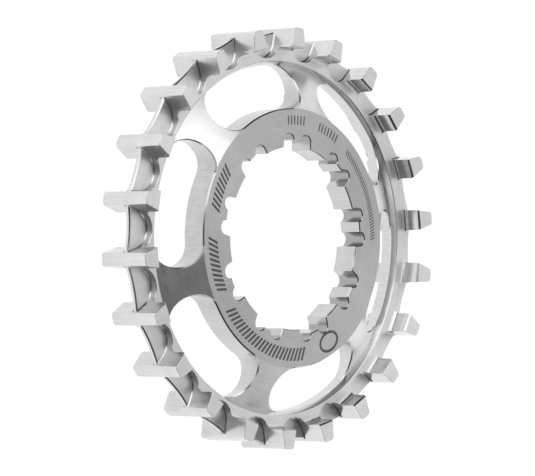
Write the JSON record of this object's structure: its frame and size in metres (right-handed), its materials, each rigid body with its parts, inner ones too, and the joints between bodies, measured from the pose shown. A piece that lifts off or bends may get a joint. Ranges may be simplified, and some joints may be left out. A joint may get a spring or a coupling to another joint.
{
  "type": "belt drive sprocket",
  "caption": "Stainless toothed-belt sprocket for a bicycle's rear hub, with bar teeth on a thin rim, a centre fin, sloping spokes and a splined bore.",
  "frame": {"origin": "on the axle's line, at the plane of the teeth's back ends, which the part lies on", "axes": "+Z along the axle out of the marked outer face, +Y through the middle of a space of the spline, opposite a tab; the narrow index tab is at 310 degrees from +X"},
  "size_m": [0.0746, 0.075, 0.0107],
  "materials": {
    "steel": "machined stainless steel, turned faces and bright milled flanks"
  },
  "bodies": {
    "root": {"drive_sprocket": "steel"}
  },
  "joints": []
}
